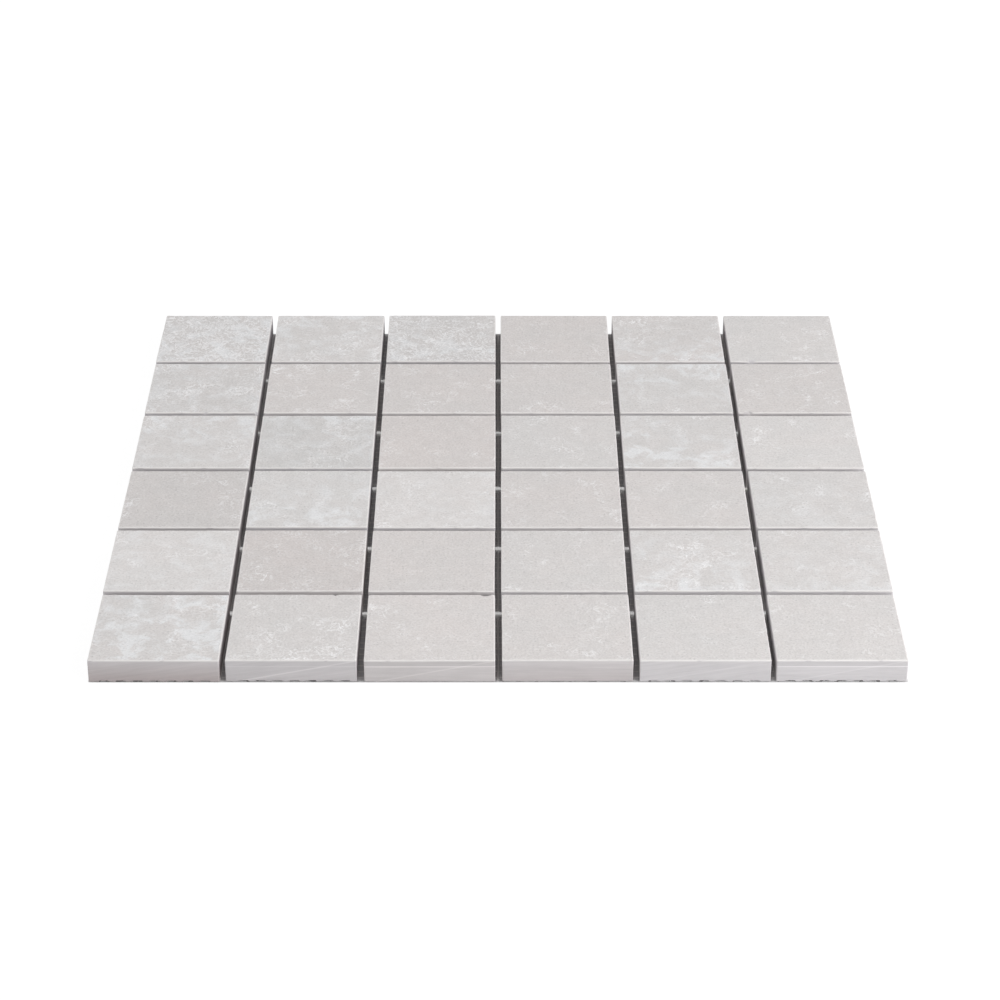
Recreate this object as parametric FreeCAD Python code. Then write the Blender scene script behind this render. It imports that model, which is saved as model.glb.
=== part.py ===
import FreeCAD, Part
import math
import os
import random

# Mosaic tile sheet: square porcelain tiles, sawn from a larger one and glued on a glass-fibre net.
# Lengths are in millimetres. The origin is the middle of the sheet's back, on the plane that the
# net lies on. +X runs along a row of tiles, +Y from the front row to the back row, and +Z out of
# the visible face. Row 1 is at the back and column 1 at the left, as the sheet is looked down on.

# Tiles
columns = 6
rows = 6
tile_side = 48.0
tile_thickness = 9.0
arris_chamfer = 0.4
corner_chamfer = 0.5

# Joints between the tiles, and how far off its place a tile is glued
joint_width = 2.4
lay_wander = 0.2
lay_turn_deg = 0.15
lay_seed = 3788

# Ribbed back, left from the larger tile's pressed back: grooves that run the whole length of a
# tile between flat ribs, at a different place on each tile, and across it on some of them
groove_pitch = 6.2
groove_width = 3.8
groove_depth = 0.4
groove_draft = 0.3
groove_phase_range = 1.2
outer_rib = 1.0
turned_share = 0.4

# Glass-fibre net: warp strands along Y lie on weft strands along X
net_pitch = 4.08
strand_width = 0.8
strand_thickness = 0.15
net_inset = 1.0

# Dabs of adhesive, one where each four tiles meet: set by hand, a little to the front of the spot
dab_radius = 2.4
dab_top_radius = 2.0
dab_height = 0.55
dab_sides = 10
dab_unevenness = 0.1
dab_setback = 1.0
dab_wander = 0.4
dab_seed = 1

# Sizes that follow from the ones above
tile_pitch = tile_side + joint_width
sheet_width = columns * tile_pitch - joint_width
sheet_depth = rows * tile_pitch - joint_width
warp_bottom = strand_thickness
tile_bottom = warp_bottom + strand_thickness


def ring_face(points):
    """A flat face inside a closed ring of points."""
    return Part.Face(Part.makePolygon(points + points[:1]))


def tile_block():
    """One tile without its grooves, centred on the Z axis with its back at tile_bottom."""
    half = tile_side / 2
    short = half - corner_chamfer
    outline = [(short, -half), (half, -short), (half, short), (short, half),
               (-short, half), (-half, short), (-half, -short), (-short, -half)]
    ring = [FreeCAD.Vector(x, y, tile_bottom) for x, y in outline]
    block = ring_face(ring).extrude(FreeCAD.Vector(0, 0, tile_thickness))
    top = tile_bottom + tile_thickness
    arrises = [edge for edge in block.Edges
               if all(abs(vertex.Z - top) < 1e-6 for vertex in edge.Vertexes)]
    return block.makeChamfer(arris_chamfer, arrises)


def groove(x):
    """The space of one groove that runs along Y, centred on x, and narrows upwards by its draft."""
    slope = groove_draft / groove_depth
    mouth = groove_width / 2
    below = tile_bottom - groove_depth
    floor = tile_bottom + groove_depth
    section = [(x - mouth - slope * groove_depth, below), (x + mouth + slope * groove_depth, below),
               (x + mouth - groove_draft, floor), (x - mouth + groove_draft, floor)]
    ring = [FreeCAD.Vector(across, -tile_side, z) for across, z in section]
    return ring_face(ring).extrude(FreeCAD.Vector(0, 2 * tile_side, 0))


def ribbed_tile(block, phase):
    """A tile with as many grooves as its back has room for, moved sideways by phase."""
    room = tile_side - 2 * (outer_rib + abs(phase)) - groove_width
    count = 1 + math.floor(room / groove_pitch)
    first = phase - (count - 1) * groove_pitch / 2
    return block.cut([groove(first + i * groove_pitch) for i in range(count)])


def laid_tiles():
    """The tiles, row by row from the back, each in its place with the small errors of laying."""
    lay = random.Random(lay_seed)
    block = tile_block()
    tiles = []
    for row in range(rows):
        for column in range(columns):
            tile = ribbed_tile(block, lay.uniform(-groove_phase_range, groove_phase_range))
            quarter_turn = 90 if lay.random() < turned_share else 0
            turn = quarter_turn + lay.uniform(-lay_turn_deg, lay_turn_deg)
            x = (column - (columns - 1) / 2) * tile_pitch + lay.uniform(-lay_wander, lay_wander)
            y = ((rows - 1) / 2 - row) * tile_pitch + lay.uniform(-lay_wander, lay_wander)
            tile.rotate(FreeCAD.Vector(), FreeCAD.Vector(0, 0, 1), turn)
            tile.translate(FreeCAD.Vector(x, y, 0))
            tiles.append((f"tile_row{row + 1}_col{column + 1}", tile))
    return tiles


def strand_places(span):
    """The middle lines of the strands that a net of this width has, spread evenly about 0."""
    count = 1 + math.floor((span - 2 * net_inset - strand_width) / net_pitch)
    return [(i - (count - 1) / 2) * net_pitch for i in range(count)]


def strand(centre_x, centre_y, size_x, size_y, bottom):
    """One flat strand of the net."""
    corner = FreeCAD.Vector(centre_x - size_x / 2, centre_y - size_y / 2, bottom)
    return Part.makeBox(size_x, size_y, strand_thickness, corner)


def weft_strands():
    """The strands along X, the lower layer of the net."""
    length = sheet_width - 2 * net_inset
    return [strand(0, y, length, strand_width, 0) for y in strand_places(sheet_depth)]


def warp_strands():
    """The strands along Y, the upper layer of the net."""
    length = sheet_depth - 2 * net_inset
    return [strand(x, 0, strand_width, length, warp_bottom) for x in strand_places(sheet_width)]


def dab(centre, swells, neighbours):
    """Adhesive pressed round the strands and up between the tile corners, without what it grips.

    Its outline has a corner for each swell, which scales the radius there. A crumb that the
    strands would cut off from the rest is left out.
    """
    rings = []
    for radius, height in ((dab_radius, 0), (dab_top_radius, dab_height)):
        corners = []
        for i, swell in enumerate(swells):
            angle = math.tau * i / len(swells)
            reach = FreeCAD.Vector(math.cos(angle), math.sin(angle), 0) * (radius * swell)
            corners.append(centre + reach + FreeCAD.Vector(0, 0, height))
        rings.append(Part.makePolygon(corners + corners[:1]))
    blob = Part.makeLoft(rings, True, True)
    gripped = [solid for solid in neighbours if solid.BoundBox.intersect(blob.BoundBox)]
    return max(blob.cut(gripped).Solids, key=lambda solid: solid.Volume)


def adhesive_dabs(neighbours):
    """A dab at every crossing of two joints."""
    hand = random.Random(dab_seed)
    dabs = []
    for row in range(1, rows):
        for column in range(1, columns):
            x = (column - columns / 2) * tile_pitch + hand.uniform(-dab_wander, dab_wander)
            y = (row - rows / 2) * tile_pitch - dab_setback + hand.uniform(-dab_wander, dab_wander)
            swells = [1 + hand.uniform(-dab_unevenness, dab_unevenness) for _ in range(dab_sides)]
            dabs.append(dab(FreeCAD.Vector(x, y, 0), swells, neighbours))
    return dabs


tiles = laid_tiles()
weft = weft_strands()
warp = warp_strands()
dabs = adhesive_dabs([tile for name, tile in tiles] + weft + warp)
layers = [("net_weft", Part.Compound(weft)), ("net_warp", Part.Compound(warp)),
          ("adhesive_dabs", Part.Compound(dabs))]

os.makedirs("parts", exist_ok=True)
for name, shape in tiles + layers:
    shape.exportStep(os.path.join("parts", f"{name}.step"))
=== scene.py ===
import bpy
import math
import numpy as np
from bpy.props import FloatProperty, FloatVectorProperty, IntProperty, PointerProperty
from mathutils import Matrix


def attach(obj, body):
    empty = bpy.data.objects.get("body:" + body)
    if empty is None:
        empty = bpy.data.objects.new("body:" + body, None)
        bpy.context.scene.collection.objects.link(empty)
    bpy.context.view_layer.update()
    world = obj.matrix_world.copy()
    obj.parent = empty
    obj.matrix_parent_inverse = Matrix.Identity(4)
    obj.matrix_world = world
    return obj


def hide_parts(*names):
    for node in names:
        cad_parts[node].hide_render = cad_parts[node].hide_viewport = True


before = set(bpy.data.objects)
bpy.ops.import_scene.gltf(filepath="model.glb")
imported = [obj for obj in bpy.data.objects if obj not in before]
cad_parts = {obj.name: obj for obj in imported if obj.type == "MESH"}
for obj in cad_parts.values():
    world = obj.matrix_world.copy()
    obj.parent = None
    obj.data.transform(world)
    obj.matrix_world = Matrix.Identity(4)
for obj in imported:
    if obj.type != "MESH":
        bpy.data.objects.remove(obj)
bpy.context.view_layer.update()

bl_info = {
    "name": "Mosaic Tile Sheet",
    "version": (1, 0, 0),
    "blender": (4, 5, 0),
    "location": "3D View > Sidebar > Mosaic",
    "description": "Finishes a sheet of porcelain mosaic tiles on a glass-fibre net, and lights it",
    "category": "Add Mesh",
}

# A sheet of square porcelain tiles, sawn from a larger printed tile and glued on a net. The tiles,
# the net and the adhesive lie where the frame has them, and all lengths are in metres.

MM = 0.001
TILE_PITCH = 50.4 * MM
SHEET_HALF = 150.0 * MM

# Lengths that count as nothing in a new mesh, and between a CAD corner and the face that it is on
TINY = 1e-7
ON_FACE = 0.02 * MM

# Heights over a tile's back under which its section's corners lie, and over which it has grooves
SECTION_TOP = 1.0 * MM
GROOVED = 0.05 * MM

# Lines of a tile's mesh: inwards from an edge, up the side from the back, and down from the top
EDGE_LINES = np.array([1.3, 0.7, 0.3, 0.0]) * MM
FOOT_LINES = np.array([0.0, 0.9, 2.5, 4.5, 6.5]) * MM
HEAD_LINES = np.array([1.2, 0.7, 0.3, 0.0]) * MM

# Wave lengths of the arris's waver and of a strand's straying, and the points round a strand
ARRIS_WAVES = (31 * MM, 13 * MM, 5.3 * MM)
STRAY_WAVES = (97 * MM, 41 * MM)
RING_POINTS = 6

# How far the paste shows on the upper edge of a side, where the face's print ends
EDGE_PASTE = 0.4

# A flake's depth as a share of its size, its dip against its way inwards, and the share of its
# depth past which the paste shows
FLAKE_DEPTH = 0.5
FLAKE_DIP = 0.9
FLAKE_BARE = 0.05

# What every tile has of smears, flecks and warmth, what a step of warmth or paleness adds, and
# how far a tile's tone strays
PLAIN_SMEARS, PLAIN_FLECKS, PLAIN_WARMTH = 0.02, -0.2, 0.35
WARM_STEP, PALE_STEP, TONE_SPREAD = 0.6, 0.02, 0.003

# How far from the middle of the print a tile may be cut, how far into the saw's marks, and the
# slopes that the marks may lean by
PRINT_REACH = 0.4
SAW_REACH = 0.1
SAW_SLOPES = (-0.05, 0.2)

# The floor reaches this far, a hair under the net, so that the two share no plane
FLOOR_HALF = 8.0
FLOOR_LEVEL = -0.02 * MM

WHITE = (1.0, 1.0, 1.0, 1.0)

# Places on the sheet where an arris has lost a flake: x, y, and the flake's size
ARRIS_FLAKES = (
    (111.0 * MM, 102.0 * MM, 1.9 * MM),
    (106.0 * MM, 51.6 * MM, 1.6 * MM),
    (-4.6 * MM, -102.0 * MM, 1.4 * MM),
    (-61.7 * MM, -102.0 * MM, 0.9 * MM),
    (-124.0 * MM, 51.6 * MM, 0.9 * MM),
    (-102.3 * MM, 51.7 * MM, 1.0 * MM),
)

# Tiles whose cut of the print shows whitish smears, or white flecks, by row from the back and
# column: how much, and the side that they gather at, across and along, where (0, 0) is all over
SMEARS = {
    (1, 1): (1.3, 0.3, -0.4), (1, 2): (0.7, -0.2, 0.5), (1, 3): (0.8, -0.2, -0.6),
    (1, 5): (0.6, 0.4, -0.9), (2, 1): (0.8, 0.0, 0.0), (2, 5): (0.8, 0.0, 1.0),
    (3, 1): (0.8, 0.0, 0.5), (3, 2): (0.8, 0.3, 0.5), (3, 5): (1.0, -0.5, -0.9),
    (4, 2): (0.8, 0.2, -0.9), (4, 3): (0.3, 0.6, 0.3), (4, 6): (0.3, -0.3, -0.5),
    (5, 1): (0.5, 0.0, 0.0), (5, 5): (0.6, -0.2, -0.8), (5, 6): (0.4, 0.5, -0.5),
    (6, 1): (1.6, 0.2, -0.2)}
FLECKS = {
    (1, 1): (2.4, 0.0, -0.3), (1, 2): (0.6, 0.0, -0.2), (1, 3): (1.9, -0.2, -0.5),
    (1, 5): (0.6, -0.2, 0.0), (2, 1): (0.9, 0.0, 0.0), (2, 2): (0.4, -0.5, 0.2),
    (2, 6): (0.1, 0.0, 0.0), (3, 1): (0.3, 0.0, 0.0), (3, 2): (0.4, 0.0, 0.0),
    (3, 4): (0.1, 0.0, 0.0), (4, 3): (0.2, 0.0, 0.0), (4, 6): (0.2, 0.0, 0.0),
    (5, 2): (0.6, 0.1, 0.1), (5, 3): (-0.8, 0.0, 0.0), (5, 5): (0.3, 0.0, -0.6),
    (6, 1): (0.3, 0.0, 0.0), (6, 2): (0.25, 0.1, -2.0), (6, 4): (0.1, 0.2, -0.5)}

# Tiles with a warmer ground (less than 0 is cooler), with a paler one, in steps of a fiftieth
# (less than 0 is darker), and with sides that are dull, that show the line where the saw cut was
# finished, or that have a long slanting scratch
WARM_TILES = {(1, 4): 0.6, (1, 5): 0.4, (2, 2): 0.5, (2, 3): 0.7, (2, 4): 0.5, (2, 6): 0.5,
              (3, 2): -0.3, (3, 3): 1.0, (4, 1): 0.4, (4, 2): -0.3, (4, 4): 0.5, (4, 5): 0.4,
              (5, 2): 0.9, (5, 3): 0.6, (6, 3): 0.6, (6, 4): 0.3}
PALE_TILES = {(1, 1): -2, (1, 3): -3, (1, 6): 2, (2, 1): -2, (3, 2): -3, (3, 6): 2, (4, 1): -3,
              (4, 3): 3, (5, 1): 3, (5, 2): -2, (6, 3): 2}
DULL_SIDES = {(3, 1): 0.3, (3, 6): 0.3, (5, 1): 0.4, (6, 1): 0.8, (6, 2): 0.15, (6, 3): 0.1,
              (6, 4): 0.4}
LINED_SIDES = {(1, 3): 0.8, (2, 6): 0.7, (4, 1): 0.6, (6, 2): 0.3, (6, 3): 1.0, (6, 6): 0.9}
SCRATCHED_SIDES = {(1, 4): 0.8, (3, 6): 0.6, (4, 1): 0.7, (6, 2): 1.0, (6, 3): 0.7, (6, 5): 0.4,
                   (6, 6): 0.5}

# Soft boxes: where each stands, pointed at the middle of the sheet, and its width and height
SOFT_BOXES = {
    "left": ((-1.2, 0.0, 1.1), (0.4, 0.6)),
    "right": ((1.2, 0.0, 1.1), (0.4, 0.6)),
    "front": ((0.55, -0.62, 0.32), (0.4, 0.3))}


def linear(code):
    """The linear value of an sRGB hex colour."""
    parts = [int(code[i:i + 2], 16) / 255 for i in (1, 3, 5)]
    return [part / 12.92 if part <= 0.04045 else ((part + 0.055) / 1.055) ** 2.4 for part in parts]


def colour_property(name, description, code):
    """A colour that the user sets, with its default given as a hex value."""
    return FloatVectorProperty(name=name, description=description, subtype="COLOR", size=3,
                               min=0.0, max=1.0, default=linear(code))


class TileSettings(bpy.types.PropertyGroup):
    """Sizes and colours of the porcelain tiles."""
    arris_radius: FloatProperty(
        name="Arris radius", description="Radius of the tiles' top edges",
        default=0.42 * MM, min=0.1 * MM, max=1.5 * MM, unit="LENGTH", precision=5)
    arris_waver: FloatProperty(
        name="Arris waver", description="How much that radius varies along an edge",
        default=0.4, min=0.0, max=1.0, subtype="FACTOR")
    cell: FloatProperty(
        name="Cell", description="Widest spacing of the lines that a tile's mesh is laid on",
        default=1.5 * MM, min=0.5 * MM, max=10 * MM, unit="LENGTH", precision=5)
    seed: IntProperty(
        name="Print seed", description="Chooses which part of the print each tile shows",
        default=4, min=0)
    face_cool: colour_property("Cool print", "The print's cooler grey", "#d5d3d2")
    face_warm: colour_property("Warm print", "The print's warmer grey", "#d4cecc")
    face_smear: colour_property("Smears", "The whitish smears of the print", "#e3e3e4")
    face_fleck: colour_property("Flecks", "The white flecks of the print", "#f5f4f5")
    face_dark: colour_property("Pores", "The print's small dark pores", "#a39f9f")
    paste: colour_property("Sawn paste", "The porcelain body where the saw has cut it", "#d0cbca")
    paste_cool: colour_property("Cool paste", "The body of the cooler tiles", "#cccacd")
    # A darker paste that some tiles' sides turn to towards the foot
    paste_darker_low: colour_property("Dull paste", "The body under dried slurry from the saw", "#b7adac")
    # A pale colour along the arris: partly wear, partly a painted highlight where the edge catches
    # light
    arris_wear_and_highlight: colour_property("Worn arris", "The arris, where wear has left it pale", "#ebe8e6")


class NetSettings(bpy.types.PropertyGroup):
    """Sizes and colours of the glass-fibre net."""
    pinch: FloatProperty(
        name="Pinch", description="How much narrower a strand is where it is crossed",
        default=0.22, min=0.0, max=0.8, subtype="FACTOR")
    drift: FloatProperty(
        name="Drift", description="How far a strand strays sideways",
        default=0.12 * MM, min=0.0, max=1.0 * MM, unit="LENGTH", precision=5)
    yarn: colour_property("Yarn", "The coated glass yarn", "#dfdbda")


class AdhesiveSettings(bpy.types.PropertyGroup):
    """Colours of the dabs of adhesive."""
    fresh: colour_property("Adhesive", "The dried white adhesive", "#fafaf9")
    aged: colour_property("Aged adhesive", "Where it has yellowed a little", "#efe7d0")


class StageSettings(bpy.types.PropertyGroup):
    """The floor, the lamps and the camera."""
    floor: colour_property("Floor", "The floor's own colour", "#e7e7e7")
    # Painted shade on the floor: greyer in the joints, and dark right under the tiles
    painted_joint_shade: colour_property("Floor in the joints", "The floor between the tiles", "#cbc9ca")
    painted_shade_under_tiles: colour_property("Covered floor", "The floor right under the tiles", "#4a4547")
    sky: FloatProperty(
        name="Sky", description="Strength of the even light from all round",
        default=0.43, min=0.0, max=3.0)
    left_power: FloatProperty(
        name="Left lamp", description="Power of the soft box on the left",
        default=7.5, min=0.0, unit="POWER")
    right_power: FloatProperty(
        name="Right lamp", description="Power of the soft box on the right",
        default=7.4, min=0.0, unit="POWER")
    front_power: FloatProperty(
        name="Front lamp", description="Power of the low soft box at the front right",
        default=2.9, min=0.0, unit="POWER")
    distance: FloatProperty(
        name="Camera distance", description="From the camera to the sheet's middle, level",
        default=1.0859, min=0.2, unit="LENGTH")
    height: FloatProperty(
        name="Camera height", description="Height of the camera above the floor",
        default=0.5789, min=0.05, unit="LENGTH")
    lens: FloatProperty(
        name="Lens", description="Focal length in millimetres", default=107.94, min=10.0)
    tilt: FloatProperty(
        name="Camera tilt", description="Angle between the view and straight down",
        default=math.radians(61.735), subtype="ANGLE")
    shift: FloatProperty(
        name="Camera shift", description="How far the picture is moved sideways, as a share of it",
        default=0.0019, min=-0.5, max=0.5)


def cad_corners(node):
    """The different corner points of a CAD node."""
    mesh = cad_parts[node].data
    places = np.empty(len(mesh.vertices) * 3)
    mesh.vertices.foreach_get("co", places)
    return np.unique(places.reshape(-1, 3).round(6), axis=0)


def turned(points, angle):
    """Points turned about Z by an angle: x' = x cos a - y sin a and y' = x sin a + y cos a."""
    cos, sin = math.cos(angle), math.sin(angle)
    return points @ np.array([[cos, sin, 0.0], [-sin, cos, 0.0], [0.0, 0.0, 1.0]])


def tile_lay(corners):
    """How a tile lies: the middle of its back, its turn, its size, and the section of its back.

    The turn is that of the right-hand edge of the top outline. The section is the row of corners
    along the end that the grooves run out of, as places across it and heights over the back.
    """
    low, high = corners.min(0), corners.max(0)
    middle = np.array([(low[0] + high[0]) / 2, (low[1] + high[1]) / 2, low[2]])
    top = corners[corners[:, 2] > high[2] - ON_FACE]
    first, last = top[np.argsort(top[:, 0])[-2:]]
    rise = (last - first) * np.sign(last[1] - first[1])
    turn = -math.atan2(rise[0], rise[1])
    for quarter in (0.0, math.pi / 2):
        local = turned(corners - middle, -turn - quarter)
        half = local[:, 1].max()
        end = local[(local[:, 1] < ON_FACE - half) & (local[:, 2] < SECTION_TOP)]
        section = end[np.argsort(end[:, 0])][:, [0, 2]]
        if section[:, 1].max() > GROOVED:
            break
    return middle, turn + quarter, half, high[2] - low[2], section


def lines_between(stops, widest):
    """The stops, with even lines between each two, so that none are further apart than widest."""
    runs = [np.linspace(a, b, max(1, math.ceil((b - a) / widest)), endpoint=False)
            for a, b in zip(stops[:-1], stops[1:])]
    return np.append(np.concatenate(runs), stops[-1])


def block_surface(xs, ys, zs):
    """A block's whole surface on a lattice of lines: its points, and its quads facing outwards.

    A lattice point is on the surface where its index is the first or the last of a list of lines.
    Each side of the block is a sheet of such points, and a quad joins each four neighbours.
    """
    counts = (len(xs), len(ys), len(zs))
    index = np.indices(counts)
    outside = np.zeros(counts, bool)
    for axis, count in enumerate(counts):
        outside |= (index[axis] == 0) | (index[axis] == count - 1)
    number = np.full(counts, -1)
    number[outside] = np.arange(outside.sum())
    points = np.stack([lines[index[axis]] for axis, lines in enumerate((xs, ys, zs))], -1)[outside]
    sides = [number[:, :, -1], number[:, :, 0].T, number[-1], number[0].T, number[:, 0],
             number[:, -1].T]
    quads = [np.stack([side[:-1, :-1], side[1:, :-1], side[1:, 1:], side[:-1, 1:]], -1)
             for side in sides]
    return points, np.concatenate([quad.reshape(-1, 4) for quad in quads])


def wavering(along, rng, lengths):
    """A smooth random line: the mean of sine waves of these lengths, each with its own phase."""
    waves = [np.sin(math.tau * (along / length + rng.random())) for length in lengths]
    return sum(waves) / len(waves)


def tile_surface(half, height, section, settings, rng):
    """A sawn tile: a block whose top edges and corners are drawn in to a radius, on a grooved back.

    A point of the back rises to the section's height at its x. A point further out than the inner
    block, which is smaller by the radius, moves to the radius from that block: its overhangs
    are scaled by the widest of them over their length. The radius wavers along each edge.
    """
    edge = half - EDGE_LINES
    across = np.unique(np.concatenate([-edge, section[:, 0], edge]).round(5))
    along = np.unique(np.concatenate([-edge, edge]).round(5))
    up = np.concatenate([FOOT_LINES, height - HEAD_LINES])
    points, quads = block_surface(
        lines_between(across, settings.cell), lines_between(along, settings.cell), up)
    x, y, z = points.T.copy()
    on_top = z > height - TINY
    on_wall = np.maximum(abs(x), abs(y)) > half - TINY
    back = z < TINY
    waver = wavering(x + 3 * y, rng, ARRIS_WAVES)
    radius = settings.arris_radius * (1 + settings.arris_waver * waver)
    past = np.clip(np.stack([abs(x) - half, abs(y) - half, z - height]) + radius, 0.0, None)
    reach = np.sqrt((past ** 2).sum(0))
    drawn = np.where(reach > 0, past.max(0) / np.where(reach > 0, reach, 1), 1.0) - 1.0
    x += np.sign(x) * past[0] * drawn
    y += np.sign(y) * past[1] * drawn
    z += past[2] * drawn
    z[back] += np.interp(x[back], section[:, 0], section[:, 1])
    arris = ((past > TINY).sum(0) > 1) & (past[2] > 0)
    sawn = np.where(on_top, np.where(on_wall, EDGE_PASTE, 0.0), 1.0)
    return np.stack([x, y, z], -1), quads, arris.astype(float), sawn


def gathered(across, along, amount, right, back):
    """How much of a marking is at places across and along a tile, each from -1 to 1.

    It is amount x (1 + right x across + back x along), with the bracket held at 0 or more.
    """
    return amount * np.clip(1 + right * across + back * along, 0.0, None)


def knock_flakes(points, arris, sawn, top, middle):
    """Dents an arris at its flakes: a point at a share d of a flake's size moves by 1 - d squared.

    It moves inwards and down. There the arris loses its wear and painted highlight, and the
    paste shows.
    """
    for x, y, size in ARRIS_FLAKES:
        place = np.array([x, y, top])
        depth = np.clip(1 - ((points - place) ** 2).sum(1) / size ** 2, 0.0, None)
        inwards = np.array([middle[0] - x, middle[1] - y, 0.0])
        inwards /= np.abs(inwards).max()
        # Straight in from the edge that the flake is on, or from both near a corner, and down
        inwards = np.round(inwards * 0.7) - np.array([0.0, 0.0, FLAKE_DIP])
        points += (FLAKE_DEPTH * size * depth)[:, None] * inwards
        arris[depth > FLAKE_BARE] = 0.0
        sawn[depth > FLAKE_BARE] = 1.0


def strand_surface(middles, length, width, thickness, level, pitch, settings, rng):
    """Flat yarns side by side: a lens-shaped ring of six points carried along straight lines.

    At a share s of a pitch past a crossing, a yarn's half width is scaled by 1 - pinch times the
    square of cos(pi s), and its middle strays by a slow wave of the drift. Its ends are closed.
    """
    count = 2 * int(round(length / pitch)) + 1
    along = np.linspace(-length / 2, length / 2, count)
    ring = np.linspace(0.0, math.tau, RING_POINTS, endpoint=False)
    pinch = 1 - settings.pinch * np.cos(math.pi * along / pitch) ** 2
    stray = settings.drift * np.stack([wavering(along, rng, STRAY_WAVES) for _ in middles])
    middle = (np.asarray(middles)[:, None] + stray)[:, :, None]
    side = middle + np.cos(ring) * width / 2 * pinch[:, None]
    height = np.sin(ring) * thickness / 2 / math.sin(math.tau / RING_POINTS) + level + thickness / 2
    shape = (len(middles), count, RING_POINTS)
    points = np.stack([np.broadcast_to(line, shape) for line in (side, along[:, None], height)], -1)
    number = np.arange(math.prod(shape)).reshape(shape)
    near, far = number[:, :-1], number[:, 1:]
    walls = np.stack([near, far, np.roll(far, -1, 2), np.roll(near, -1, 2)], -1).reshape(-1, 4)
    first, last = number[:, 0], number[:, -1]
    ends = [first[:, [0, 1, 2, 3]], first[:, [0, 3, 4, 5]],
            last[:, [3, 2, 1, 0]], last[:, [5, 4, 3, 0]]]
    return points.reshape(-1, 3), np.concatenate([walls] + ends)


def new_piece(name, points, quads, material, attributes, crease=40.0):
    """A piece of quads at the origin, smooth but for edges that turn more than crease degrees."""
    mesh = bpy.data.meshes.new(name)
    mesh.vertices.add(len(points))
    mesh.vertices.foreach_set("co", points.astype(np.float32).ravel())
    mesh.loops.add(quads.size)
    mesh.loops.foreach_set("vertex_index", quads.astype(np.int32).ravel())
    mesh.polygons.add(len(quads))
    mesh.polygons.foreach_set("loop_start", np.arange(0, quads.size, 4, dtype=np.int32))
    mesh.polygons.foreach_set("use_smooth", np.ones(len(quads), bool))
    mesh.update(calc_edges=True)
    mesh.set_sharp_from_angle(angle=math.radians(crease))
    for label, values in attributes.items():
        kind, key = ("FLOAT_VECTOR", "vector") if values.ndim == 2 else ("FLOAT", "value")
        layer = mesh.attributes.new(label, kind, "POINT")
        layer.data.foreach_set(key, values.astype(np.float32).ravel())
    mesh.materials.append(material)
    piece = bpy.data.objects.new(name, mesh)
    bpy.context.scene.collection.objects.link(piece)
    return piece


def new_material(name):
    """A new material and its node tree, which is empty."""
    material = bpy.data.materials.new(name)
    material.use_nodes = True
    material.node_tree.nodes.clear()
    return material, material.node_tree


def add_node(tree, kind, inputs, output=0, **settings):
    """Adds a node, sets its settings, and gives each input a value or another node's output.

    It returns the named output, or nothing for a node that has none.
    """
    node = tree.nodes.new(kind)
    for key, value in settings.items():
        setattr(node, key, value)
    for socket, value in inputs.items():
        if isinstance(value, bpy.types.NodeSocket):
            tree.links.new(value, node.inputs[socket])
        else:
            node.inputs[socket].default_value = value
    return node.outputs[output] if node.outputs else None


def seen_directly(tree):
    """1 for a ray from the camera, off a glossy surface or through a clear one, and else 0."""
    rays = add_node(tree, "ShaderNodeLightPath", {}, "Is Camera Ray").node
    seen = add_node(tree, "ShaderNodeMath", {
        0: rays.outputs["Is Camera Ray"], 1: rays.outputs["Is Glossy Ray"]}, operation="MAXIMUM")
    return add_node(tree, "ShaderNodeMath", {
        0: seen, 1: rays.outputs["Is Transmission Ray"]}, operation="MAXIMUM")


def rgba(colour):
    """A colour property as the four values that a socket takes."""
    return (*colour, 1.0)


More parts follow.
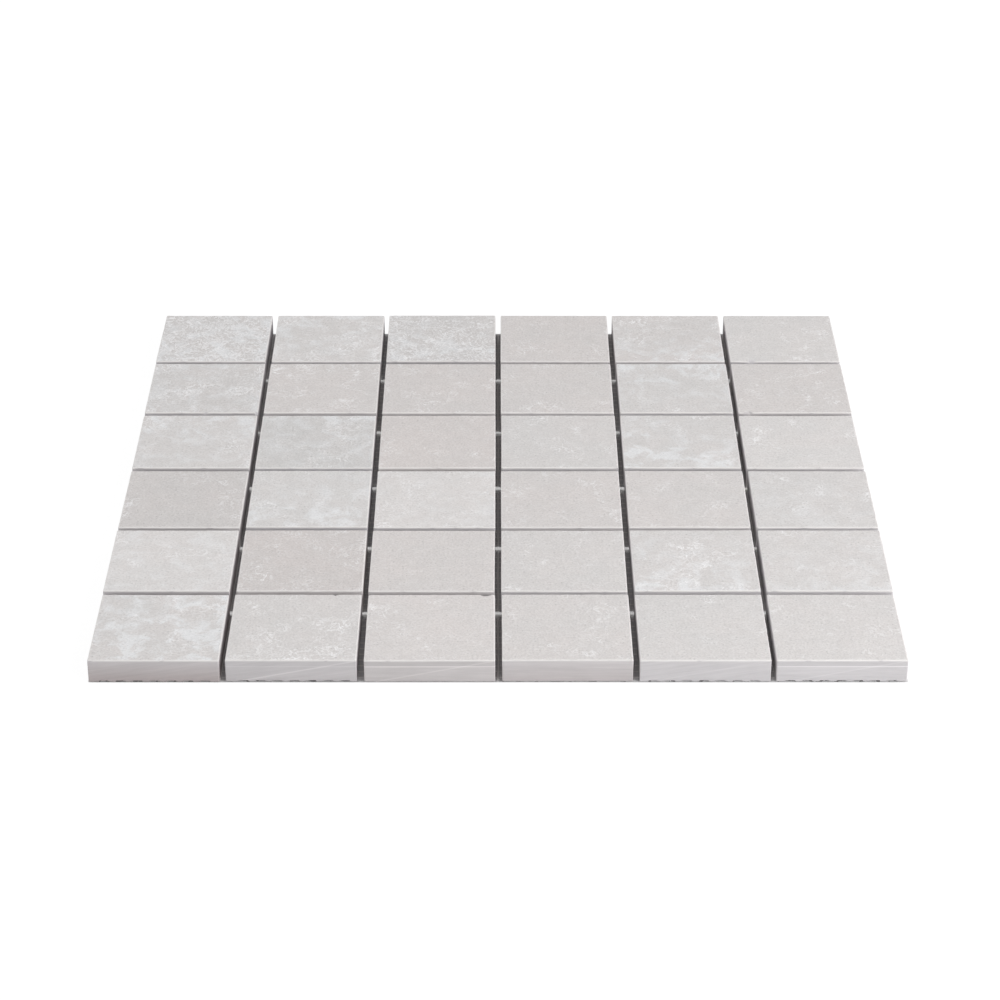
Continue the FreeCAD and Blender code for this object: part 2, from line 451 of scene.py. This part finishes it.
def printed_porcelain(settings):
    """Matt glazed porcelain with a concrete print on its face, and sawn through-coloured sides.

    The print is soft clouds of two greys with whitish smears, patches of white flecks and curled
    strokes, and small dark pores, and it is nearly without gloss. The sawn paste is duller, with
    long slanting marks of the saw. The arris is pale, partly from wear and partly as a painted
    highlight where it catches the light.
    """
    material, tree = new_material("printed_porcelain")
    place, marks, sawing, sides = [
        add_node(tree, "ShaderNodeAttribute", {}, "Vector", attribute_name=name)
        for name in ("print", "marks", "saw", "sides")]
    tone, warmth, sawn = [
        add_node(tree, "ShaderNodeAttribute", {}, "Fac", attribute_name=name)
        for name in ("tone", "warmth", "sawn")]
    smearing, flecking, arris = [
        add_node(tree, "ShaderNodeSeparateXYZ", {0: marks}, axis) for axis in "XYZ"]
    finish_line, scratch, dulling = [
        add_node(tree, "ShaderNodeSeparateXYZ", {0: sides}, axis) for axis in "XYZ"]
    run = add_node(tree, "ShaderNodeSeparateXYZ", {0: sawing}, "X")

    # What the print is drawn from, each noise at the size of its own marks
    cloud = add_node(tree, "ShaderNodeTexNoise", {
        "Vector": place, "Scale": 1 / (22 * MM), "Detail": 4.0, "Roughness": 0.55}, "Fac")
    mottle = add_node(tree, "ShaderNodeTexNoise", {
        "Vector": place, "Scale": 1 / (5 * MM), "Detail": 6.0, "Roughness": 0.7}, "Fac")
    grain = add_node(tree, "ShaderNodeTexNoise", {
        "Vector": place, "Scale": 1 / (0.9 * MM), "Detail": 3.0, "Roughness": 0.7}, "Fac")
    smear = add_node(tree, "ShaderNodeTexNoise", {
        "Vector": place, "Scale": 1 / (9 * MM), "Detail": 5.0, "Roughness": 0.62,
        "Distortion": 0.6}, "Fac")
    patch = add_node(tree, "ShaderNodeTexNoise", {
        "Vector": place, "Scale": 1 / (14 * MM), "Detail": 4.0, "Roughness": 0.65,
        "Distortion": 0.3}, "Fac")
    fleck = add_node(tree, "ShaderNodeTexNoise", {
        "Vector": place, "Scale": 1 / (1.1 * MM), "Detail": 3.0, "Roughness": 0.7,
        "Distortion": 0.4}, "Fac")
    curl = add_node(tree, "ShaderNodeTexNoise", {
        "Vector": place, "Scale": 1 / (4.5 * MM), "Detail": 2.0, "Roughness": 0.6,
        "Distortion": 1.2}, "Fac")

    # The face: clouds of the two greys, then smears, flecks with pale strokes, and pores
    lean = add_node(tree, "ShaderNodeMapRange", {
        "Value": cloud, "From Min": 0.36, "From Max": 0.64, "To Min": -0.15, "To Max": 0.15})
    lean = add_node(tree, "ShaderNodeMath", {0: lean, 1: warmth}, operation="ADD", use_clamp=True)
    face = add_node(tree, "ShaderNodeMix", {
        0: lean, 6: rgba(settings.face_cool), 7: rgba(settings.face_warm)}, 2, data_type="RGBA")
    smears = add_node(tree, "ShaderNodeMapRange", {
        "Value": smear, "From Min": 0.43, "From Max": 0.70}, interpolation_type="SMOOTHSTEP")
    smears = add_node(tree, "ShaderNodeMath", {
        0: smears, 1: smearing}, operation="MULTIPLY", use_clamp=True)
    face = add_node(tree, "ShaderNodeMix", {
        0: smears, 6: face, 7: rgba(settings.face_smear)}, 2, data_type="RGBA")
    patches = add_node(tree, "ShaderNodeMath", {
        0: flecking, 1: 0.13, 2: patch}, operation="MULTIPLY_ADD")
    patches = add_node(tree, "ShaderNodeMapRange", {
        "Value": patches, "From Min": 0.52, "From Max": 0.70})
    flecks = add_node(tree, "ShaderNodeMapRange", {
        "Value": fleck, "From Min": 0.55, "From Max": 0.61, "To Max": 0.6})
    curl = add_node(tree, "ShaderNodeMath", {0: curl, 1: 0.5}, operation="SUBTRACT")
    curl = add_node(tree, "ShaderNodeMath", {0: curl}, operation="ABSOLUTE")
    strokes = add_node(tree, "ShaderNodeMapRange", {
        "Value": curl, "From Min": 0.045, "From Max": 0.015, "To Max": 0.85})
    flecks = add_node(tree, "ShaderNodeMath", {0: flecks, 1: strokes}, operation="MAXIMUM")
    spread = add_node(tree, "ShaderNodeMapRange", {"Value": patches, "To Min": 0.17})
    flecks = add_node(tree, "ShaderNodeMath", {
        0: flecks, 1: spread}, operation="MULTIPLY", use_clamp=True)
    face = add_node(tree, "ShaderNodeMix", {
        0: flecks, 6: face, 7: rgba(settings.face_fleck)}, 2, data_type="RGBA")
    pores = add_node(tree, "ShaderNodeMapRange", {
        "Value": grain, "From Min": 0.37, "From Max": 0.27, "To Max": 0.8})
    face = add_node(tree, "ShaderNodeMix", {
        0: pores, 6: face, 7: rgba(settings.face_dark)}, 2, data_type="RGBA")

    # How light the face is: the tile's tone, with a little of three of the noises less their mean
    shade = add_node(tree, "ShaderNodeMath", {0: mottle, 1: 0.2, 2: tone}, operation="MULTIPLY_ADD")
    shade = add_node(tree, "ShaderNodeMath", {0: cloud, 1: 0.1, 2: shade}, operation="MULTIPLY_ADD")
    shade = add_node(tree, "ShaderNodeMath", {0: grain, 1: 0.5, 2: shade}, operation="MULTIPLY_ADD")
    shade = add_node(tree, "ShaderNodeMath", {0: shade, 1: 0.399}, operation="SUBTRACT")
    face = add_node(tree, "ShaderNodeVectorMath", {0: face, "Scale": shade}, operation="SCALE")

    # The sides: streaks along the run of the saw, duller towards the foot
    spot = add_node(tree, "ShaderNodeTexCoord", {}, "Object")
    level = add_node(tree, "ShaderNodeSeparateXYZ", {0: spot}, "Z")
    along = add_node(tree, "ShaderNodeVectorMath", {
        0: sawing, 1: (0.05, 1.0, 1.0)}, operation="MULTIPLY")
    saw = add_node(tree, "ShaderNodeTexNoise", {
        "Vector": along, "Scale": 1 / (1.1 * MM), "Detail": 4.0, "Roughness": 0.7}, "Fac")
    dull = add_node(tree, "ShaderNodeTexNoise", {
        "Vector": spot, "Scale": 1 / (13 * MM), "Detail": 4.0, "Roughness": 0.6}, "Fac")
    paste = add_node(tree, "ShaderNodeMix", {
        0: warmth, 6: rgba(settings.paste_cool), 7: rgba(settings.paste)}, 2, data_type="RGBA")
    # On some tiles the side turns to the darker paste towards the foot
    depth = add_node(tree, "ShaderNodeMapRange", {
        "Value": level, "From Min": 2.0 * MM, "From Max": 8.5 * MM, "To Min": 1.0, "To Max": 0.25})
    depth = add_node(tree, "ShaderNodeMath", {0: depth, 1: dulling}, operation="MULTIPLY")
    paste = add_node(tree, "ShaderNodeMix", {
        0: depth, 6: paste, 7: rgba(settings.paste_darker_low)}, 2, data_type="RGBA")
    foot = add_node(tree, "ShaderNodeMapRange", {
        "Value": level, "From Min": 0.5 * MM, "From Max": 8.5 * MM, "To Min": 0.772,
        "To Max": 0.795})
    streaks = add_node(tree, "ShaderNodeMath", {
        0: saw, 1: 0.36, 2: foot}, operation="MULTIPLY_ADD")
    streaks = add_node(tree, "ShaderNodeMath", {
        0: dull, 1: 0.12, 2: streaks}, operation="MULTIPLY_ADD")

    # The line where the saw cut was finished, with a darker strip over it, and the long scratch
    upper = add_node(tree, "ShaderNodeMapRange", {
        "Value": level, "From Min": 6.7 * MM, "From Max": 7.0 * MM, "To Max": -0.07})
    line = add_node(tree, "ShaderNodeMath", {
        0: level, 1: 6.6 * MM, 2: 0.22 * MM}, operation="COMPARE")
    line = add_node(tree, "ShaderNodeMath", {
        0: line, 1: 0.24, 2: upper}, operation="MULTIPLY_ADD")
    streaks = add_node(tree, "ShaderNodeMath", {
        0: line, 1: finish_line, 2: streaks}, operation="MULTIPLY_ADD")
    slant = add_node(tree, "ShaderNodeMath", {0: run, 1: -0.2, 2: level}, operation="MULTIPLY_ADD")
    slant = add_node(tree, "ShaderNodeMath", {0: slant, 1: 9.0 * MM}, operation="SUBTRACT")
    slant = add_node(tree, "ShaderNodeMath", {0: slant}, operation="ABSOLUTE")
    slant = add_node(tree, "ShaderNodeMapRange", {
        "Value": slant, "From Min": 0.1 * MM, "From Max": 0.4 * MM, "To Min": 0.17, "To Max": 0.0})
    streaks = add_node(tree, "ShaderNodeMath", {
        0: slant, 1: scratch, 2: streaks}, operation="MULTIPLY_ADD")
    paste = add_node(tree, "ShaderNodeVectorMath", {0: paste, "Scale": streaks}, operation="SCALE")

    # Both surfaces together, the arris pale over them from wear and a painted highlight, and the
    # relief of each
    colour = add_node(tree, "ShaderNodeMix", {0: sawn, 6: face, 7: paste}, 2, data_type="RGBA")
    # Wear and painted highlight: the arris is mixed towards the pale colour
    wear_and_highlight = add_node(tree, "ShaderNodeMath", {0: arris, 1: 0.78}, operation="MULTIPLY")
    colour = add_node(tree, "ShaderNodeMix", {
        0: wear_and_highlight, 6: colour, 7: rgba(settings.arris_wear_and_highlight)}, 2, data_type="RGBA")
    rough = add_node(tree, "ShaderNodeMapRange", {"Value": sawn, "To Min": 0.74, "To Max": 0.8})
    texture = add_node(tree, "ShaderNodeMath", {
        0: mottle, 1: flecks, 2: grain}, operation="MULTIPLY_ADD")
    relief = add_node(tree, "ShaderNodeMix", {0: sawn, 2: texture, 3: saw}, 0, data_type="FLOAT")
    normal = add_node(tree, "ShaderNodeBump", {
        "Strength": 0.5, "Distance": 0.08 * MM, "Height": relief}, "Normal")
    shader = add_node(tree, "ShaderNodeBsdfPrincipled", {
        "Base Color": colour, "Roughness": rough, "Normal": normal, "IOR": 1.5}, "BSDF")
    add_node(tree, "ShaderNodeOutputMaterial", {"Surface": shader})
    return material


def coated_glass_yarn(settings):
    """Alkali-resistant glass yarn: bundles of fine white filaments, matt from their coating.

    The real filaments are too fine to show, so they are drawn as coarse as 0.25 mm.
    """
    material, tree = new_material("coated_glass_yarn")
    spot = add_node(tree, "ShaderNodeTexCoord", {}, "Object")
    filaments = add_node(tree, "ShaderNodeTexNoise", {
        "Vector": spot, "Scale": 1 / (0.25 * MM), "Detail": 3.0, "Roughness": 0.6}, "Fac")
    stain = add_node(tree, "ShaderNodeTexNoise", {
        "Vector": spot, "Scale": 1 / (18 * MM), "Detail": 2.0}, "Fac")
    shade = add_node(tree, "ShaderNodeMath", {
        0: filaments, 1: 0.3, 2: 0.78}, operation="MULTIPLY_ADD")
    shade = add_node(tree, "ShaderNodeMath", {
        0: stain, 1: 0.14, 2: shade}, operation="MULTIPLY_ADD")
    colour = add_node(tree, "ShaderNodeVectorMath", {
        0: tuple(settings.yarn), "Scale": shade}, operation="SCALE")
    normal = add_node(tree, "ShaderNodeBump", {
        "Strength": 0.6, "Distance": 0.04 * MM, "Height": filaments}, "Normal")
    shader = add_node(tree, "ShaderNodeBsdfPrincipled", {
        "Base Color": colour, "Roughness": 0.62, "Normal": normal, "IOR": 1.52}, "BSDF")
    add_node(tree, "ShaderNodeOutputMaterial", {"Surface": shader})
    return material


def dried_adhesive(settings):
    """White dispersion adhesive, dried hard: matt and chalky, a little yellow in places."""
    material, tree = new_material("dried_adhesive")
    spot = add_node(tree, "ShaderNodeTexCoord", {}, "Object")
    age = add_node(tree, "ShaderNodeTexNoise", {
        "Vector": spot, "Scale": 1 / (60 * MM), "Detail": 1.0}, "Fac")
    age = add_node(tree, "ShaderNodeMapRange", {
        "Value": age, "From Min": 0.58, "From Max": 0.85}, interpolation_type="SMOOTHSTEP")
    lumps = add_node(tree, "ShaderNodeTexNoise", {
        "Vector": spot, "Scale": 1 / (0.8 * MM), "Detail": 3.0}, "Fac")
    colour = add_node(tree, "ShaderNodeMix", {
        0: age, 6: rgba(settings.fresh), 7: rgba(settings.aged)}, 2, data_type="RGBA")
    shade = add_node(tree, "ShaderNodeMath", {0: lumps, 1: 0.12, 2: 0.94}, operation="MULTIPLY_ADD")
    colour = add_node(tree, "ShaderNodeVectorMath", {0: colour, "Scale": shade}, operation="SCALE")
    normal = add_node(tree, "ShaderNodeBump", {
        "Strength": 0.7, "Distance": 0.15 * MM, "Height": lumps}, "Normal")
    shader = add_node(tree, "ShaderNodeBsdfPrincipled", {
        "Base Color": colour, "Roughness": 0.7, "Normal": normal, "IOR": 1.47}, "BSDF")
    add_node(tree, "ShaderNodeOutputMaterial", {"Surface": shader})
    return material


def studio_floor(settings):
    """Pale matt floor: white to the eye around the sheet, and shaded by it as any floor is.

    It glows white from just outside the sheet's edge, but for a share near the sheet that stays
    matt, so that the shadow shows. In the joints it is painted a greyer shade, and under the tiles
    it is painted dark shade, as for the thin gap there, but for blotches behind the sheet's edge
    where it stays pale.
    """
    material, tree = new_material("studio_floor")
    spot = add_node(tree, "ShaderNodeTexCoord", {}, "Object")
    places = [add_node(tree, "ShaderNodeSeparateXYZ", {0: spot}, axis) for axis in "XY"]
    away = [add_node(tree, "ShaderNodeMath", {0: place}, operation="ABSOLUTE") for place in places]
    away = add_node(tree, "ShaderNodeMath", {0: away[0], 1: away[1]}, operation="MAXIMUM")
    open_floor = add_node(tree, "ShaderNodeMath", {
        0: away, 1: SHEET_HALF + 0.2 * MM}, operation="GREATER_THAN")

    # Blotches along the sheet's edge, where the painted shade under the tiles gives way to pale
    # floor
    blotches = add_node(tree, "ShaderNodeTexNoise", {
        "Vector": spot, "Scale": 1 / (3 * MM), "Detail": 2.0}, "Fac")
    blotches = add_node(tree, "ShaderNodeMapRange", {
        "Value": blotches, "From Min": 0.42, "From Max": 0.52, "To Max": 1.3 * MM})
    near_edge = add_node(tree, "ShaderNodeMath", {0: away, 1: blotches}, operation="ADD")
    near_edge = add_node(tree, "ShaderNodeMath", {
        0: near_edge, 1: SHEET_HALF - 0.25 * MM}, operation="GREATER_THAN")
    past = [add_node(tree, "ShaderNodeMath", {0: place, 1: TILE_PITCH / 2}, operation="PINGPONG")
            for place in places]
    past = add_node(tree, "ShaderNodeMath", {0: past[0], 1: past[1]}, operation="MINIMUM")
    joint = add_node(tree, "ShaderNodeMath", {0: past, 1: 1.6 * MM}, operation="LESS_THAN")
    # Painted shade: grey in the joints, dark under the tiles, pale at the sheet's edge and its
    # blotches
    colour = add_node(tree, "ShaderNodeMix", {
        0: joint, 6: rgba(settings.painted_shade_under_tiles), 7: rgba(settings.painted_joint_shade)}, 2, data_type="RGBA")
    colour = add_node(tree, "ShaderNodeMix", {
        0: near_edge, 6: colour, 7: rgba(settings.floor)}, 2, data_type="RGBA")

    matt = add_node(tree, "ShaderNodeBsdfDiffuse", {"Color": colour})
    glow = add_node(tree, "ShaderNodeEmission", {"Color": WHITE, "Strength": 1.2})
    share = add_node(tree, "ShaderNodeMapRange", {
        "Value": away, "From Min": 0.3, "From Max": 2.0, "To Min": 0.7, "To Max": 1.0})
    seen = add_node(tree, "ShaderNodeMath", {
        0: seen_directly(tree), 1: open_floor}, operation="MULTIPLY")
    share = add_node(tree, "ShaderNodeMath", {0: seen, 1: share}, operation="MULTIPLY")
    mixed = add_node(tree, "ShaderNodeMixShader", {0: share, 1: matt, 2: glow})
    add_node(tree, "ShaderNodeOutputMaterial", {"Surface": mixed})
    return material


class MOSAIC_OT_tiles(bpy.types.Operator):
    """Makes every porcelain tile where the frame has it"""
    bl_idname = "mosaic.tiles"
    bl_label = "Porcelain tiles"
    bl_options = {"REGISTER", "UNDO"}

    def execute(self, context):
        settings = context.scene.mosaic_tiles
        material = printed_porcelain(settings)
        for node in sorted(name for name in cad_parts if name.startswith("tile_")):
            row, column = (int(part[3:]) for part in node.split("_")[1:])
            rng = np.random.default_rng((settings.seed, row, column))
            middle, turn, half, height, section = tile_lay(cad_corners(node))
            points, quads, arris, sawn = tile_surface(half, height, section, settings, rng)
            # Each tile shows a cut of the print, at any quarter turn
            shift = rng.uniform(-1.0, 1.0, 3) * (PRINT_REACH, PRINT_REACH, 0.0)
            shown = turned(points, math.pi / 2 * rng.integers(4)) + shift
            points = turned(points, turn)
            across, along = points[:, :2].T / half
            # The saw's marks run along the sides, and lean by a slope of each tile's own
            run = points[:, 0] + points[:, 1]
            drop = points[:, 2] - rng.uniform(*SAW_SLOPES) * run
            tile = (row, column)
            smearing, flecking = [gathered(across, along, *table.get(tile, (0.0, 0.0, 0.0)))
                                  for table in (SMEARS, FLECKS)]
            points += middle
            knock_flakes(points, arris, sawn, middle[2] + height, middle)
            even = np.ones(len(points))
            attributes = {
                "print": shown,
                "marks": np.stack([smearing + PLAIN_SMEARS, flecking + PLAIN_FLECKS, arris], -1),
                "saw": np.stack([run, drop, even * rng.uniform(0.0, SAW_REACH)], -1),
                "sides": np.outer(even, [table.get(tile, 0.0) for table in (
                    LINED_SIDES, SCRATCHED_SIDES, DULL_SIDES)]),
                "tone": even + PALE_STEP * PALE_TILES.get(tile, 0) + rng.normal(0.0, TONE_SPREAD),
                "warmth": PLAIN_WARMTH + WARM_STEP * WARM_TILES.get(tile, 0.0) * even,
                "sawn": sawn}
            piece = new_piece(
                f"porcelain_row{row}_col{column}", points, quads, material, attributes)
            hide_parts(node)
            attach(piece, "root")
        return {"FINISHED"}


class MOSAIC_OT_net(bpy.types.Operator):
    """Makes the yarns of the glass-fibre net, each where the frame has its strand"""
    bl_idname = "mosaic.net"
    bl_label = "Glass-fibre net"
    bl_options = {"REGISTER", "UNDO"}

    def execute(self, context):
        settings = context.scene.mosaic_net
        material = coated_glass_yarn(settings)
        for number, (node, along) in enumerate((("net_weft", 0), ("net_warp", 1))):
            corners = cad_corners(node)
            low, high = corners.min(0), corners.max(0)
            edges = np.unique(corners[:, 1 - along])
            middles, widths = (edges[0::2] + edges[1::2]) / 2, edges[1::2] - edges[0::2]
            pitch = (middles[-1] - middles[0]) / (len(middles) - 1)
            points, quads = strand_surface(
                middles, high[along] - low[along], widths.mean(), high[2] - low[2], low[2], pitch,
                settings, np.random.default_rng(number))
            if along == 0:
                points = points[:, [1, 0, 2]]
                quads = quads[:, ::-1]
            piece = new_piece(f"yarns_{node[4:]}", points, quads, material, {}, crease=75.0)
            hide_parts(node)
            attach(piece, "root")
        return {"FINISHED"}


class MOSAIC_OT_adhesive(bpy.types.Operator):
    """Gives the dabs of adhesive their finish"""
    bl_idname = "mosaic.adhesive"
    bl_label = "Adhesive dabs"
    bl_options = {"REGISTER", "UNDO"}

    def execute(self, context):
        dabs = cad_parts["adhesive_dabs"]
        dabs.data.materials.clear()
        dabs.data.materials.append(dried_adhesive(context.scene.mosaic_adhesive))
        return {"FINISHED"}


class MOSAIC_OT_stage(bpy.types.Operator):
    """Lays the floor and sets up the lamps and the camera"""
    bl_idname = "mosaic.stage"
    bl_label = "Floor, lamps and camera"
    bl_options = {"REGISTER", "UNDO"}

    def execute(self, context):
        settings = context.scene.mosaic_stage
        points = np.array([[x * FLOOR_HALF, y * FLOOR_HALF, FLOOR_LEVEL]
                           for x, y in ((-1, -1), (1, -1), (1, 1), (-1, 1))])
        new_piece("floor", points, np.array([[0, 1, 2, 3]]), studio_floor(settings), {})

        world = bpy.data.worlds.new("studio")
        world.use_nodes = True
        tree = world.node_tree
        tree.nodes.clear()
        even, white = [
            add_node(tree, "ShaderNodeBackground", {"Color": WHITE, "Strength": strength})
            for strength in (settings.sky, 1.0)]
        mixed = add_node(tree, "ShaderNodeMixShader", {0: seen_directly(tree), 1: even, 2: white})
        add_node(tree, "ShaderNodeOutputWorld", {"Surface": mixed})
        context.scene.world = world

        for name, (place, size) in SOFT_BOXES.items():
            data = bpy.data.lights.new(f"soft_box_{name}", "AREA")
            data.shape = "RECTANGLE"
            data.size, data.size_y = size
            data.energy = getattr(settings, f"{name}_power")
            lamp = bpy.data.objects.new(f"soft_box_{name}", data)
            lamp.location = place
            lamp.rotation_euler = (-lamp.location).to_track_quat("-Z", "Y").to_euler()
            context.scene.collection.objects.link(lamp)

        data = bpy.data.cameras.new("camera")
        data.sensor_width = 36.0
        data.lens = settings.lens
        data.shift_x = settings.shift
        camera = bpy.data.objects.new("camera", data)
        camera.location = (0.0, -settings.distance, settings.height)
        camera.rotation_euler = (settings.tilt, 0.0, 0.0)
        context.scene.collection.objects.link(camera)
        context.scene.camera = camera
        context.scene.view_settings.view_transform = "Standard"
        return {"FINISHED"}


class MOSAIC_PT_sheet(bpy.types.Panel):
    """Lists the steps that make the sheet"""
    bl_idname = "MOSAIC_PT_sheet"
    bl_label = "Mosaic tile sheet"
    bl_space_type = "VIEW_3D"
    bl_region_type = "UI"
    bl_category = "Mosaic"

    def draw(self, context):
        for step in STEPS:
            self.layout.operator(step.bl_idname)
        for group, kind in GROUPS.items():
            for name in kind.__annotations__:
                self.layout.prop(getattr(context.scene, group), name)


GROUPS = {"mosaic_tiles": TileSettings, "mosaic_net": NetSettings,
          "mosaic_adhesive": AdhesiveSettings, "mosaic_stage": StageSettings}
STEPS = (MOSAIC_OT_tiles, MOSAIC_OT_net, MOSAIC_OT_adhesive, MOSAIC_OT_stage)


def register():
    """Adds the settings, the steps and the panel."""
    for group, kind in GROUPS.items():
        bpy.utils.register_class(kind)
        setattr(bpy.types.Scene, group, PointerProperty(type=kind))
    for step in STEPS:
        bpy.utils.register_class(step)
    bpy.utils.register_class(MOSAIC_PT_sheet)


def unregister():
    """Takes them away again."""
    bpy.utils.unregister_class(MOSAIC_PT_sheet)
    for step in reversed(STEPS):
        bpy.utils.unregister_class(step)
    for group, kind in reversed(GROUPS.items()):
        delattr(bpy.types.Scene, group)
        bpy.utils.unregister_class(kind)


def main():
    """Makes the whole sheet and its stage."""
    register()
    bpy.ops.mosaic.tiles()
    bpy.ops.mosaic.net()
    bpy.ops.mosaic.adhesive()
    bpy.ops.mosaic.stage()


if __name__ == "__main__":
    main()
